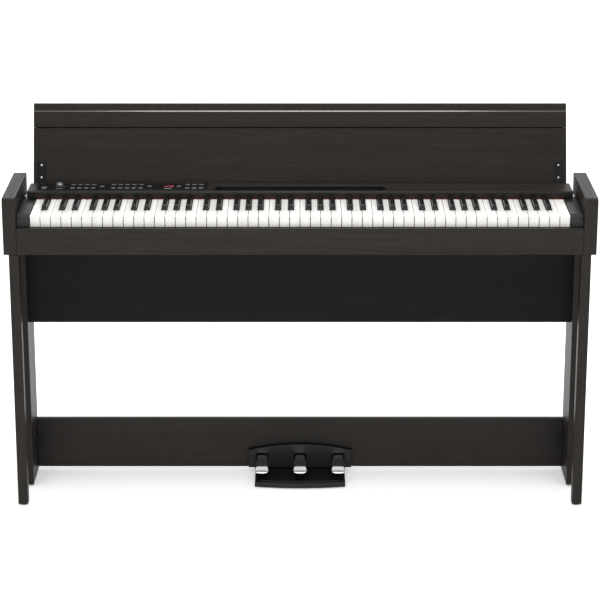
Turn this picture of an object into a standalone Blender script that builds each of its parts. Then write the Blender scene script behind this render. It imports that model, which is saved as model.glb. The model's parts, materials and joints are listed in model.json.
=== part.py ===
"""A slim digital piano on its stand, at rest with its folding lid open.

All sizes are millimetres in a design frame. X is centred and runs towards the treble side.
Y = 0 is the front of the arms and grows towards the wall. Z = 0 is the floor. The last step
moves everything so that the origin is at the middle of the whole object's footprint.
"""

import math

import bmesh
import bpy
from mathutils import Matrix, Vector

MM = 0.001
GAP = 0.3

# Cabinet
WIDTH = 1346.0
ARM_THICKNESS = 29.6
ARM_DEPTH = 240.0
STAND_TOP = 614.0
ARM_TOP = STAND_TOP + 132.0
ARM_EDGE_RADIUS = 9.0
ARM_LINE = 0.9
ARM_INNER = WIDTH / 2 - ARM_THICKNESS
INSIDE = ARM_INNER - GAP
BODY_HALF = 635.0
BED_BOTTOM = STAND_TOP + GAP
BED_TOP = STAND_TOP + 15.0
BED_REAR = 240.5
SLIP_DEPTH = 12.0
SLIP_TOP = STAND_TOP + 62.0
REAR_WALL_THICKNESS = 14.5
CONSOLE_FRONT = 167.0
CONSOLE_REAR = 244.0
CONSOLE_TOP = STAND_TOP + 105.0
CONSOLE_BOTTOM = CONSOLE_TOP - 15.0
CONSOLE_EDGE_RADIUS = 4.0

# Keyboard: 52 white and 36 black keys
OCTAVE_WIDTH = 165.2
WHITE_PITCH = OCTAVE_WIDTH / 7
WHITE_COUNT = 52
WHITE_GAP = 1.0
WHITE_TOP = STAND_TOP + 86.0
WHITE_BOTTOM = WHITE_TOP - 26.0
WHITE_FRONT = 22.0
WHITE_HEAD = 50.0
WHITE_REAR = 222.0
BLACK_TOP = WHITE_TOP + 12.0
BLACK_WIDTH = 11.5
BLACK_SIDE_GAP = 1.3
BLACK_FRONT = 72.0
BLACK_SHOULDER = 160.0
BLACK_REAR = 202.0
BLACK_BOTTOM = WHITE_BOTTOM + 2.0
BLACK_TAIL_TOP = WHITE_TOP - 2.0
# Each black key's place in the octave: the white key on its left, and its offset from their joint
BLACK_OFFSETS = {0: -3.0, 1: 3.0, 3: -4.0, 4: 0.0, 5: 4.0}
# The webs under the tails, as (y, z) corners
WHITE_WEB = ((211.0, WHITE_BOTTOM - 11), (221.0, WHITE_BOTTOM + 2))
BLACK_WEB = ((192.5, WHITE_BOTTOM - 14), (201.5, WHITE_BOTTOM - 4))
KEYBOARD_LEFT = -WHITE_COUNT * WHITE_PITCH / 2
FIRST_WHITE_IN_OCTAVE = 5
OCTAVE_SETS = 7
BLOCK_INNER = -KEYBOARD_LEFT + 0.5
# The key blocks from the side, as (y, z) points: their front slopes back, clear of the folded flap
BLOCK_SLOPE = ((14.0, WHITE_TOP - 12), (22.0, WHITE_TOP - 2), (30.0, WHITE_TOP + 3))
BLOCK_REAR = CONSOLE_FRONT - 1
FELT_BOTTOM = WHITE_TOP + 1.2

# Key chassis: a floor with three rails, each as (front, rear, how far below the white keys)
CHASSIS_Y = (16.0, 224.0)
CHASSIS_FLOOR = 7.0
FRONT_RAIL = (26.0, 46.0, 11.5)
MIDDLE_RAIL = (82.0, 100.0, 9.0)
PIVOT_RAIL = (188.0, 224.0, 16.0)

# Lid: it turns on two pins hidden beside the console, and its front flap folds down
LID_LEAN = math.radians(18.5)
LID_THICKNESS = 15.0
LID_UNDERSIDE = ARM_TOP - LID_THICKNESS
LID_PIVOT = (216.5, LID_UNDERSIDE - 41.1)
LID_HALF = 631.0
LID_REAR = 256.0
FOLD_Y = 46.0
FOLD_GAP = 1.2
FLAP_LENGTH = 58.0
# The rebate's length, its depth, and how far the chamfer at its end runs
FINGER_REBATE = (21.0, 2.0, 3.3)
TIP_RADIUS = 3.0
# Each hinge plate in plan, with a tab at its rear, where the ear stands beside the lid
HINGE_PLATE_X = (602.0, 622.5)
HINGE_PLATE_Y = (128.0, 232.0)
HINGE_TAB_FRONT = 200.0
HINGE_THICKNESS = 1.7
HINGE_EAR = (637.5, 639.5)
HINGE_PIN_RADIUS = 3.0

# Control panel
PANEL_X = (-614.0, -217.0)
PANEL_Y = (181.0, 241.0)
PANEL_Z = (CONSOLE_TOP - 2.7, CONSOLE_TOP + 0.4)
BUTTON_SIZE = (12.0, 4.4)
BUTTON_TOP = PANEL_Z[1] + 1.2
BUTTON_ROWS = (200.0, 230.0)
BUTTON_MIDDLE = 215.0
BUTTON_PITCH = 16.0
BUTTON_GROUPS = {
    "voice_buttons": (-532.0, 4, -464.0),
    "rhythm_buttons": (-437.0, 5, -353.0),
    "song_buttons": (-264.0, 3, -284.0),
}
DISPLAY_X = (-324.0, -295.0)
DISPLAY_Y = (200.0, 228.0)
KNOB = (-563.0, 212.0, 8.0, PANEL_Z[1] + 8.1)
KNOB_SHAFT_RADIUS = 3.0
POWER = (-599.0, 204.0, 4.5)
POWER_LENGTH = 9.0
CARRIER_Z = (CONSOLE_TOP - 9.5, CONSOLE_TOP - 6.5)
BOARD_Z = (CONSOLE_TOP - 14.2, CONSOLE_TOP - 11.8)

# Music rest groove in the console
GROOVE_HALF = 204.0
GROOVE_Y = (174.0, 217.0)
GROOVE_POINT = 14.0
GROOVE_DEPTH = 10.0
GROOVE_WALL = 1.6

# Units under the keybed: speakers as (x, half width, y low, y high, height), and the sockets
SPEAKER = (430.0, 62.0, 168.0, 234.0, 34.0)
SPEAKER_RIM = 10.0
SPEAKER_RECESS = 12.0
CONNECTOR_X = (250.0, 330.0)
CONNECTOR_Y = (172.0, 226.0)
CONNECTOR_HEIGHT = 26.0
SOCKETS = ((272.0, 9.0), (306.0, 7.0))
SOCKET_DEPTH = 14.0

# Stand
FOOT_HEIGHT = 3.0
FOOT_RADIUS = 9.0
POST_X = (639.0, 662.0)
FRONT_POST_Y = (2.0, 27.0)
REAR_POST_Y = (122.0, 243.0)
MODESTY_Y = (150.0, 162.0)
MODESTY_BOTTOM = 405.0
PEDAL_BOARD_Y = (228.0, 243.0)
PEDAL_BOARD_Z = (9.0, 134.0)
BRACKET_Z = (60.0, 95.0)
BRACKET_LEG = 16.0
BRACKET_THICKNESS = 2.0

# Pedals
PEDAL_X = (-92.0, 0.0, 92.0)
PEDAL_PIVOT = (220.0, 44.0)
PEDAL_TIP = 126.0
PEDAL_DROP = 12.0
PEDAL_THICKNESS = 6.0
PEDAL_TIP_HALF = 16.5
PEDAL_LEVER_HALF = 12.0
PEDAL_SLOT_HALF = 15.0
PEDAL_SLOT_Z = (26.0, 52.0)
HOUSING_HALF = 125.0
HOUSING_Y = (213.0, PEDAL_BOARD_Y[0] - GAP)
HOUSING_Z = (12.0, 57.0, 72.0)
BASE_HALF = 108.5
BASE_FRONT = 114.0
BASE_BOW = 10.0
BASE_Z = (2.0, 14.0)


def lid_direction():
    """The open lid's upward direction, as (y, z)."""
    return math.sin(LID_LEAN), math.cos(LID_LEAN)


def total_depth():
    """From the arms' front to the open lid's rearmost point, on the rounded tip of the flap."""
    up_y, up_z = lid_direction()
    back = LID_UNDERSIDE + LID_THICKNESS - LID_PIVOT[1] - TIP_RADIUS
    reach = LID_PIVOT[0] - FOLD_Y + FLAP_LENGTH - TIP_RADIUS
    return LID_PIVOT[0] + back * up_z + reach * up_y + TIP_RADIUS


def clear_scene():
    for obj in list(bpy.data.objects):
        bpy.data.objects.remove(obj)


def paint(name, colour, roughness, metallic=0.0):
    material = bpy.data.materials.new(name)
    material.use_nodes = True
    shader = material.node_tree.nodes["Principled BSDF"]
    shader.inputs["Base Color"].default_value = (*colour, 1.0)
    shader.inputs["Roughness"].default_value = roughness
    shader.inputs["Metallic"].default_value = metallic
    return material


def make_paints():
    return {
        "wood": paint("dark_wood", (0.032, 0.026, 0.022), 0.38),
        "panel": paint("black_board", (0.012, 0.011, 0.010), 0.5),
        "white": paint("white_key", (0.86, 0.86, 0.84), 0.25),
        "black": paint("black_key", (0.012, 0.012, 0.013), 0.35),
        "felt": paint("red_felt", (0.22, 0.02, 0.02), 0.95),
        "gloss": paint("gloss_black", (0.006, 0.006, 0.007), 0.08),
        "plastic": paint("black_plastic", (0.02, 0.02, 0.02), 0.45),
        "button": paint("grey_button", (0.12, 0.12, 0.125), 0.4),
        "steel": paint("bright_steel", (0.62, 0.62, 0.63), 0.25, 1.0),
        "chrome": paint("pedal_chrome", (0.8, 0.8, 0.8), 0.08, 1.0),
        "board": paint("circuit_green", (0.02, 0.11, 0.05), 0.5),
        "rubber": paint("foot_rubber", (0.02, 0.02, 0.02), 0.8),
    }


def finish_mesh(name, bm, material):
    """Makes the object from a bmesh in millimetres, with its faces pointing out."""
    bmesh.ops.scale(bm, vec=(MM, MM, MM), verts=bm.verts)
    bmesh.ops.recalc_face_normals(bm, faces=bm.faces)
    mesh = bpy.data.meshes.new(name)
    bm.to_mesh(mesh)
    bm.free()
    mesh.materials.append(material)
    obj = bpy.data.objects.new(name, mesh)
    bpy.context.scene.collection.objects.link(obj)
    return obj


def add_box(bm, low, high):
    middle = (Vector(low) + Vector(high)) / 2
    size = Vector(high) - Vector(low)
    matrix = Matrix.Translation(middle) @ Matrix.Diagonal((*size, 1.0))
    return bmesh.ops.create_cube(bm, size=1.0, matrix=matrix)["verts"]


def boxes(name, corners, material):
    """One object holding a box for each (low, high) pair."""
    bm = bmesh.new()
    for low, high in corners:
        add_box(bm, low, high)
    return finish_mesh(name, bm, material)


def box(name, low, high, material, edge=0.0):
    obj = boxes(name, [(low, high)], material)
    if edge:
        soften(obj, edge)
    return obj


def add_prism(bm, points, direction):
    """Extrudes a closed outline of 3-D points along direction."""
    face = bm.faces.new([bm.verts.new(point) for point in points])
    made = bmesh.ops.extrude_face_region(bm, geom=[face])["geom"]
    far = [item for item in made if isinstance(item, bmesh.types.BMVert)]
    bmesh.ops.translate(bm, vec=direction, verts=far)
    return list(face.verts) + far


def prism_along_x(name, outline, x_low, x_high, material):
    """outline is (y, z) points."""
    bm = bmesh.new()
    add_prism(bm, [(x_low, y, z) for y, z in outline], (x_high - x_low, 0, 0))
    return finish_mesh(name, bm, material)


def prism_along_z(name, outline, z_low, z_high, material):
    """outline is (x, y) points."""
    bm = bmesh.new()
    add_prism(bm, [(x, y, z_low) for x, y in outline], (0, 0, z_high - z_low))
    return finish_mesh(name, bm, material)


def arc(centre, radius, start, end, steps):
    """Points on a circle from the start angle to the end angle, in degrees."""
    angles = [math.radians(start + (end - start) * i / steps) for i in range(steps + 1)]
    return [(centre[0] + radius * math.cos(a), centre[1] + radius * math.sin(a)) for a in angles]


def cylinder(name, centre, radius, length, axis, material, segments=24):
    """A cylinder about an axis letter, with its middle at centre."""
    turn = {"X": Matrix.Rotation(math.pi / 2, 4, "Y"), "Z": Matrix.Identity(4)}[axis]
    bm = bmesh.new()
    bmesh.ops.create_cone(
        bm, cap_ends=True, segments=segments, radius1=radius, radius2=radius, depth=length,
        matrix=Matrix.Translation(centre) @ turn,
    )
    obj = finish_mesh(name, bm, material)
    smooth(obj)
    return obj


def smooth(obj):
    obj.data.shade_smooth()
    obj.data.set_sharp_from_angle(angle=math.radians(35))


def soften(obj, width, segments=2):
    bevel = obj.modifiers.new("Bevel", "BEVEL")
    bevel.width = width * MM
    bevel.segments = segments
    bevel.limit_method = "ANGLE"
    smooth(obj)


def combine(obj, other, operation):
    """Adds or cuts another shape, which stays in the file as a hidden helper."""
    other.hide_render = True
    other.display_type = "WIRE"
    boolean = obj.modifiers.new(operation.title(), "BOOLEAN")
    boolean.object = other
    boolean.operation = operation
    boolean.solver = "EXACT"
    return obj


def set_origin(obj, point):
    """Moves the object's origin to a point in millimetres and leaves its shape in place."""
    offset = Vector(point) * MM
    obj.data.transform(Matrix.Translation(-offset))
    obj.location = offset


def arm(name, side, paints):
    """A side arm: a thick board with a rounded front top edge and a fine V-line under the rounding."""
    radius = ARM_EDGE_RADIUS
    corner = arc((radius, ARM_TOP - radius), radius, 180, 90, 6)
    line = ARM_TOP - radius - ARM_LINE
    groove = [(0, line - ARM_LINE), (ARM_LINE, line)]
    outline = [(0, BED_BOTTOM), *groove, *corner, (ARM_DEPTH, ARM_TOP), (ARM_DEPTH, BED_BOTTOM)]
    low, high = sorted((side * ARM_INNER, side * WIDTH / 2))
    return prism_along_x(name, outline, low, high, paints["wood"])


def console(paints):
    """The board behind the keys, with a recess for the control panel and the music rest groove."""
    radius = CONSOLE_EDGE_RADIUS
    corner = arc((CONSOLE_FRONT + radius, CONSOLE_TOP - radius), radius, 180, 90, 4)
    outline = [
        (CONSOLE_FRONT, CONSOLE_BOTTOM), *corner,
        (CONSOLE_REAR, CONSOLE_TOP), (CONSOLE_REAR, CONSOLE_BOTTOM),
    ]
    obj = prism_along_x("console_top", outline, -BODY_HALF, BODY_HALF, paints["wood"])
    seat = box(
        "console_panel_seat",
        (PANEL_X[0] - GAP, PANEL_Y[0] - GAP, PANEL_Z[0] - GAP),
        (PANEL_X[1] + GAP, PANEL_Y[1] + GAP, CONSOLE_TOP + 5),
        paints["wood"],
    )
    window = box(
        "console_panel_window",
        (PANEL_X[0] + 6, PANEL_Y[0] + 5, CONSOLE_BOTTOM - 5),
        (PANEL_X[1] - 6, PANEL_Y[1] - 5, CONSOLE_TOP),
        paints["wood"],
    )
    groove = prism_along_z(
        "console_groove_cutter", groove_outline(GAP),
        CONSOLE_TOP - GROOVE_DEPTH - GAP, CONSOLE_TOP + 5, paints["wood"],
    )
    for cutter in (seat, window, groove):
        combine(obj, cutter, "DIFFERENCE")
    return obj


def groove_outline(grow):
    """The music rest groove in plan: a long slot with pointed ends, grown by some distance."""
    half = GROOVE_HALF + grow
    low, high = GROOVE_Y[0] - grow, GROOVE_Y[1] + grow
    middle = sum(GROOVE_Y) / 2
    shoulder = half - GROOVE_POINT
    return [
        (-half, middle), (-shoulder, low), (shoulder, low),
        (half, middle), (shoulder, high), (-shoulder, high),
    ]


def music_rest_tray(paints):
    """The plastic liner of the groove that a music rest stands in."""
    floor = CONSOLE_TOP - GROOVE_DEPTH
    tray = prism_along_z("music_rest_tray", groove_outline(0), floor, CONSOLE_TOP, paints["plastic"])
    hollow = prism_along_z(
        "tray_cutter", groove_outline(-GROOVE_WALL),
        floor + GROOVE_WALL, CONSOLE_TOP + 5, paints["plastic"],
    )
    return combine(tray, hollow, "DIFFERENCE")


def key_frame(paints):
    """The chassis under the keys, with a front stop rail, a middle stop rail and a pivot rail."""
    bottom = BED_TOP + GAP
    floor_top = bottom + CHASSIS_FLOOR
    outline = [(CHASSIS_Y[0], floor_top), (CHASSIS_Y[0], bottom), (CHASSIS_Y[1], bottom)]
    for front, rear, drop in (PIVOT_RAIL, MIDDLE_RAIL, FRONT_RAIL):
        rail_top = WHITE_BOTTOM - drop
        outline += [(rear, floor_top)] if rear < CHASSIS_Y[1] else []
        outline += [(rear, rail_top), (front, rail_top), (front, floor_top)]
    half = -KEYBOARD_LEFT - 1
    return prism_along_x("key_frame", outline, -half, half, paints["plastic"])


def white_left(index):
    return KEYBOARD_LEFT + index * WHITE_PITCH


def octave_place(index):
    """A white key's place in its octave, where 0 is C. The first key of the keyboard is an A."""
    return (index + FIRST_WHITE_IN_OCTAVE) % 7


def black_centre(index):
    """The centre of the black key to the right of a white key, or None if there is none."""
    offset = BLACK_OFFSETS.get(octave_place(index))
    if offset is None or index < 0 or index >= WHITE_COUNT - 1:
        return None
    return white_left(index + 1) + offset


def white_outline(index):
    """A white key in plan: a full-width head, and a tail that leaves room for the black keys."""
    left = white_left(index) + WHITE_GAP / 2
    right = white_left(index + 1) - WHITE_GAP / 2
    notch = BLACK_WIDTH / 2 + BLACK_SIDE_GAP
    head = WHITE_FRONT + WHITE_HEAD - 1
    before, after = black_centre(index - 1), black_centre(index)
    outline = [(left, WHITE_FRONT), (right, WHITE_FRONT)]
    if after is None:
        outline.append((right, WHITE_REAR))
    else:
        outline += [(right, head), (after - notch, head), (after - notch, WHITE_REAR)]
    if before is None:
        outline.append((left, WHITE_REAR))
    else:
        outline += [(before + notch, WHITE_REAR), (before + notch, head), (left, head)]
    return outline


def white_set(name, indices, paints):
    """The white keys of one register, joined by a web under their tails."""
    bm = bmesh.new()
    for index in indices:
        points = [(x, y, WHITE_BOTTOM) for x, y in white_outline(index)]
        add_prism(bm, points, (0, 0, WHITE_TOP - WHITE_BOTTOM))
    keys = finish_mesh(name, bm, paints["white"])
    (y_low, z_low), (y_high, z_high) = WHITE_WEB
    x_low, x_high = white_left(indices[0]) + 4, white_left(indices[-1] + 1) - 4
    web = box(name + "_web", (x_low, y_low, z_low), (x_high, y_high, z_high), paints["white"])
    combine(keys, web, "UNION")
    set_origin(keys, (0, (y_low + y_high) / 2, (z_low + z_high) / 2))
    return keys


def black_outline():
    """A black key from the side: a sloped front, a flat top, and a low tail under the console."""
    return [
        (BLACK_FRONT, BLACK_BOTTOM), (BLACK_FRONT + 1, BLACK_TAIL_TOP),
        (BLACK_FRONT + 6, BLACK_TOP - 1),
        (BLACK_FRONT + 9, BLACK_TOP), (BLACK_SHOULDER, BLACK_TOP),
        (BLACK_SHOULDER + 3, BLACK_TAIL_TOP), (BLACK_REAR, BLACK_TAIL_TOP),
        (BLACK_REAR, BLACK_WEB[0][1] + 1), (BLACK_WEB[0][0] - 1, BLACK_WEB[0][1] + 1),
        (BLACK_WEB[0][0] - 1, BLACK_BOTTOM),
    ]


def black_set(name, indices, paints):
    """The black keys of one register, joined by a web that passes under the white tails."""
    bm = bmesh.new()
    centres = [black_centre(index) for index in indices if black_centre(index) is not None]
    for centre in centres:
        left = centre - BLACK_WIDTH / 2
        points = [(left, y, z) for y, z in black_outline()]
        for vert in add_prism(bm, points, (BLACK_WIDTH, 0, 0)):
            if vert.co.z > BLACK_TAIL_TOP + 1:
                vert.co.x -= math.copysign(1.0, vert.co.x - centre)
    keys = finish_mesh(name, bm, paints["black"])
    (y_low, z_low), (y_high, z_high) = BLACK_WEB
    x_low, x_high = centres[0] - 4, centres[-1] + 4
    web = box(name + "_web", (x_low, y_low, z_low), (x_high, y_high, z_high), paints["black"])
    combine(keys, web, "UNION")
    set_origin(keys, (0, (y_low + y_high) / 2, (z_low + z_high) / 2))
    return keys


def register_indices(number):
    """The white keys of one register. The first also has the two keys below the lowest C."""
    first = 2 + 7 * number
    last = WHITE_COUNT if number == OCTAVE_SETS - 1 else first + 7
    return list(range(0 if number == 0 else first, last))


def keyboard(paints):
    for number in range(OCTAVE_SETS):
        indices = register_indices(number)
        white_set(f"white_keys_{number + 1}", indices, paints)
        black_set(f"black_keys_{number + 1}", indices, paints)
    for side, word in ((-1, "left"), (1, "right")):
        low, high = sorted((side * BLOCK_INNER, side * INSIDE))
        bottom = BED_TOP + GAP
        outline = [
            (BLOCK_SLOPE[0][0], bottom), *BLOCK_SLOPE,
            (BLOCK_REAR, BLOCK_SLOPE[-1][1]), (BLOCK_REAR, bottom),
        ]
        prism_along_x(f"{word}_key_block", outline, low, high, paints["plastic"])
    key_frame(paints)
    box(
        "felt_strip", (KEYBOARD_LEFT, CONSOLE_FRONT + 1, FELT_BOTTOM),
        (-KEYBOARD_LEFT, CONSOLE_FRONT + 6, CONSOLE_BOTTOM - GAP), paints["felt"],
    )


def body(paints):
    box(
        "key_slip", (-INSIDE, 0, BED_BOTTOM), (INSIDE, SLIP_DEPTH, SLIP_TOP), paints["wood"], edge=1.5,
    )
    box("keybed", (-INSIDE, SLIP_DEPTH + GAP, BED_BOTTOM), (INSIDE, BED_REAR, BED_TOP), paints["panel"])
    box(
        "rear_wall", (-BODY_HALF, BED_REAR - REAR_WALL_THICKNESS, BED_TOP + GAP),
        (BODY_HALF, BED_REAR, CONSOLE_BOTTOM - GAP), paints["wood"],
    )
    console(paints)
    music_rest_tray(paints)


def speaker(name, side, paints):
    """A full-range speaker unit that hangs under the keybed and faces down."""
    middle, half, y_low, y_high, height = SPEAKER
    x, top = side * middle, STAND_TOP - GAP / 2
    bottom = STAND_TOP - height
    obj = box(name, (x - half, y_low, bottom), (x + half, y_high, top), paints["plastic"], edge=3)
    cone = box(
        name + "_cutter", (x - half + SPEAKER_RIM, y_low + SPEAKER_RIM, bottom - 5),
        (x + half - SPEAKER_RIM, y_high - SPEAKER_RIM, bottom + SPEAKER_RECESS), paints["plastic"],
    )
    return combine(obj, cone, "DIFFERENCE")


def connector_box(paints):
    """The box under the keybed with the power inlet and a headphone socket in its rear face."""
    bottom, top = STAND_TOP - CONNECTOR_HEIGHT, STAND_TOP - GAP / 2
    middle, rear = STAND_TOP - CONNECTOR_HEIGHT / 2, CONNECTOR_Y[1]
    obj = box(
        "connector_box", (CONNECTOR_X[0], CONNECTOR_Y[0], bottom), (CONNECTOR_X[1], rear, top),
        paints["plastic"],
    )
    for number, (x, size) in enumerate(SOCKETS):
        hole = box(
            f"socket_cutter_{number + 1}", (x - size / 2, rear - SOCKET_DEPTH, middle - size / 2),
            (x + size / 2, rear + 5, middle + size / 2), paints["plastic"],
        )
        combine(obj, hole, "DIFFERENCE")
    return obj


def button_places(group):
    """The middles of a group's buttons: two rows of columns, and one button in the middle row."""
    first, columns, single = BUTTON_GROUPS[group]
    places = [(first + BUTTON_PITCH * i, y) for i in range(columns) for y in BUTTON_ROWS]
    return [*places, (single, BUTTON_MIDDLE)]


def button_boxes(group, grow, z_low, z_high):
    half_x, half_y = BUTTON_SIZE[0] / 2 + grow, BUTTON_SIZE[1] / 2 + grow
    return [
        ((x - half_x, y - half_y, z_low), (x + half_x, y + half_y, z_high))
        for x, y in button_places(group)
    ]


def buttons(group, paints):
    """One moulded strip of buttons: the caps stand through the panel on a shared carrier."""
    caps = boxes(group, button_boxes(group, 0, CARRIER_Z[1] - 1, BUTTON_TOP), paints["button"])
    xs = [x for x, _ in button_places(group)]
    carrier = box(
        group + "_carrier", (min(xs) - 5, BUTTON_ROWS[0] - 4, CARRIER_Z[0]),
        (max(xs) + 5, BUTTON_ROWS[1] + 4, CARRIER_Z[1]), paints["button"],
    )
    return combine(caps, carrier, "UNION")


def control_panel(paints):
    """The glossy panel, with a hole for each button, the knob, the power button and the display."""
    panel = box(
        "control_panel", (PANEL_X[0], PANEL_Y[0], PANEL_Z[0]), (PANEL_X[1], PANEL_Y[1], PANEL_Z[1]),
        paints["gloss"],
    )
    z_low, z_high = PANEL_Z[0] - 5, PANEL_Z[1] + 5
    slack = GAP + 0.1
    holes = [corner for group in BUTTON_GROUPS for corner in button_boxes(group, slack, z_low, z_high)]
    holes.append((
        (DISPLAY_X[0] - GAP, DISPLAY_Y[0] - GAP, z_low), (DISPLAY_X[1] + GAP, DISPLAY_Y[1] + GAP, z_high),
    ))
    combine(panel, boxes("panel_hole_cutters", holes, paints["gloss"]), "DIFFERENCE")
    middle_z = (z_low + z_high) / 2
    for name, place, radius in (("knob", KNOB[:2], KNOB_SHAFT_RADIUS), ("power", POWER[:2], POWER[2])):
        cutter = cylinder(
            f"{name}_hole_cutter", (*place, middle_z), radius + slack, z_high - z_low, "Z", paints["gloss"],
        )
        combine(panel, cutter, "DIFFERENCE")
    for group in BUTTON_GROUPS:
        buttons(group, paints)
    box(
        "display_window", (DISPLAY_X[0], DISPLAY_Y[0], CONSOLE_TOP - 6),
        (DISPLAY_X[1], DISPLAY_Y[1], PANEL_Z[1] + 0.4), paints["gloss"],
    )
    knob(paints)
    power_middle = (*POWER[:2], PANEL_Z[0])
    power = cylinder("power_button", power_middle, POWER[2], POWER_LENGTH, "Z", paints["button"])
    set_origin(power, power_middle)
    box(
        "panel_circuit_board", (PANEL_X[0] + 8, PANEL_Y[0] + 7, BOARD_Z[0]),
        (PANEL_X[1] - 8, PANEL_Y[1] - 7, BOARD_Z[1]), paints["board"],
    )


def knob(paints):
    """The volume knob: a cap above the panel on a thin shaft through it."""
    x, y, radius, top = KNOB
    cap_bottom = PANEL_Z[1] + 0.6
    cap = cylinder(
        "volume_knob", (x, y, (cap_bottom + top) / 2), radius, top - cap_bottom, "Z", paints["button"],
    )
    shaft_low, shaft_high = CONSOLE_TOP - 9, cap_bottom + 1
    shaft = cylinder(
        "knob_shaft", (x, y, (shaft_low + shaft_high) / 2), KNOB_SHAFT_RADIUS, shaft_high - shaft_low,
        "Z", paints["button"],
    )
    combine(cap, shaft, "UNION")
    set_origin(cap, (x, y, cap_bottom))


def lid_board_shape(paints):
    """The main board of the lid, drawn closed, with a shallow seat for each hinge plate."""
    outline = [
        (FOLD_Y, LID_UNDERSIDE), (FOLD_Y, LID_UNDERSIDE + LID_THICKNESS),
        (LID_REAR, LID_UNDERSIDE + LID_THICKNESS), (LID_REAR, LID_UNDERSIDE),
    ]
    board = prism_along_x("lid_board", outline, -LID_HALF, LID_HALF, paints["wood"])
    seats = bmesh.new()
    for side in (-1, 1):
        seat = [(x, y, LID_UNDERSIDE - 5) for x, y in hinge_outline(side, GAP, LID_HALF + 5)]
        add_prism(seats, seat, (0, 0, 5 + HINGE_THICKNESS + GAP))
    return combine(board, finish_mesh("hinge_seat_cutters", seats, paints["wood"]), "DIFFERENCE")


def hinge_outline(side, grow, reach):
    """A hinge plate in plan, grown by some distance, with its tab as far out as reach."""
    inner, outer = HINGE_PLATE_X[0] - grow, HINGE_PLATE_X[1] + grow
    front, tab, rear = HINGE_PLATE_Y[0] - grow, HINGE_TAB_FRONT - grow, HINGE_PLATE_Y[1] + grow
    points = [
        (inner, front), (outer, front), (outer, tab), (reach, tab), (reach, rear), (inner, rear),
    ]
    return [(side * x, y) for x, y in points]


def lid_flap_shape(paints):
    """The folding front flap in line with the lid, with a finger rebate that ends in a chamfer."""
    tip = FOLD_Y - FLAP_LENGTH
    top = LID_UNDERSIDE + LID_THICKNESS
    length, depth, chamfer = FINGER_REBATE
    rebate_end = tip + length
    floor = LID_UNDERSIDE + depth
    outline = [
        (FOLD_Y - FOLD_GAP, LID_UNDERSIDE), (FOLD_Y - FOLD_GAP, top),
        *arc((tip + TIP_RADIUS, top - TIP_RADIUS), TIP_RADIUS, 90, 180, 4),
        *arc((tip + TIP_RADIUS, floor + TIP_RADIUS), TIP_RADIUS, 180, 270, 4),
        (rebate_end - chamfer, floor), (rebate_end, LID_UNDERSIDE),
    ]
    return prism_along_x("lid_flap", outline, -LID_HALF, LID_HALF, paints["wood"])


def lid_hinge(name, side, paints):
    """A steel angle: a plate let into the lid, and an ear that turns on the pin."""
    pivot_y, pivot_z = LID_PIVOT
    top = LID_UNDERSIDE + HINGE_THICKNESS
    plate = prism_along_z(
        name, hinge_outline(side, 0, HINGE_EAR[1]), LID_UNDERSIDE, top, paints["plastic"],
    )
    outline = [*arc(LID_PIVOT, 11, 190, 350, 8), (pivot_y + 15, top - 0.4), (pivot_y - 15, top - 0.4)]
    low, high = sorted((side * HINGE_EAR[0], side * HINGE_EAR[1]))
    ear = prism_along_x(name + "_ear", outline, low, high, paints["plastic"])
    combine(plate, ear, "UNION")
    middle = (side * sum(HINGE_EAR) / 2, pivot_y, pivot_z)
    hole = cylinder(name + "_hole", middle, HINGE_PIN_RADIUS + 0.4, 8, "X", paints["plastic"])
    combine(plate, hole, "DIFFERENCE")
    return plate, ear, hole


def hinge_pin(name, side, paints):
    """The fixed half of a lid hinge: a round flange on the arm with the pin on it."""
    flange_x = (ARM_INNER - GAP - 2.2, ARM_INNER - GAP)
    pin_x = (636.2, flange_x[0] + 1)
    flange = cylinder(
        name, (side * sum(flange_x) / 2, *LID_PIVOT), 11, flange_x[1] - flange_x[0], "X", paints["steel"],
    )
    pin = cylinder(
        name + "_pin", (side * sum(pin_x) / 2, *LID_PIVOT), HINGE_PIN_RADIUS, pin_x[1] - pin_x[0], "X",
        paints["steel"],
    )
    return combine(flange, pin, "UNION")


def lid(paints):
    """The lid drawn closed, then opened by turning its parent about the pins."""
    pivot = Vector((0, *LID_PIVOT)) * MM
    opened = bpy.data.objects.new("lid_pivot", None)
    bpy.context.scene.collection.objects.link(opened)
    opened.location = pivot
    opened.rotation_euler.x = -(math.pi / 2 + LID_LEAN)
    flap = lid_flap_shape(paints)
    moving = [lid_board_shape(paints), bpy.data.objects["hinge_seat_cutters"], flap]
    for side, word in ((-1, "left"), (1, "right")):
        moving += lid_hinge(f"{word}_lid_hinge", side, paints)
        hinge_pin(f"{word}_hinge_pin", side, paints)
    for obj in moving:
        obj.parent = opened
        obj.location = obj.location - pivot
    fold = Vector((0, FOLD_Y, LID_UNDERSIDE)) * MM
    flap.data.transform(Matrix.Translation(-fold))
    flap.location = fold - pivot


def foot(name, x, y, paints):
    return cylinder(name, (x, y, FOOT_HEIGHT / 2), FOOT_RADIUS, FOOT_HEIGHT, "Z", paints["rubber"])


def bracket(name, side, paints):
    """The steel angle that joins the pedal board to a side of the stand."""
    x, y = side * (POST_X[0] - GAP), PEDAL_BOARD_Y[0] - GAP
    leg, thickness = BRACKET_LEG, BRACKET_THICKNESS
    outline = [
        (x, y), (x - side * leg, y), (x - side * leg, y - thickness), (x - side * thickness, y - thickness),
        (x - side * thickness, y - leg), (x, y - leg),
    ]
    return prism_along_z(name, outline, *BRACKET_Z, paints["plastic"])


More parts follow.
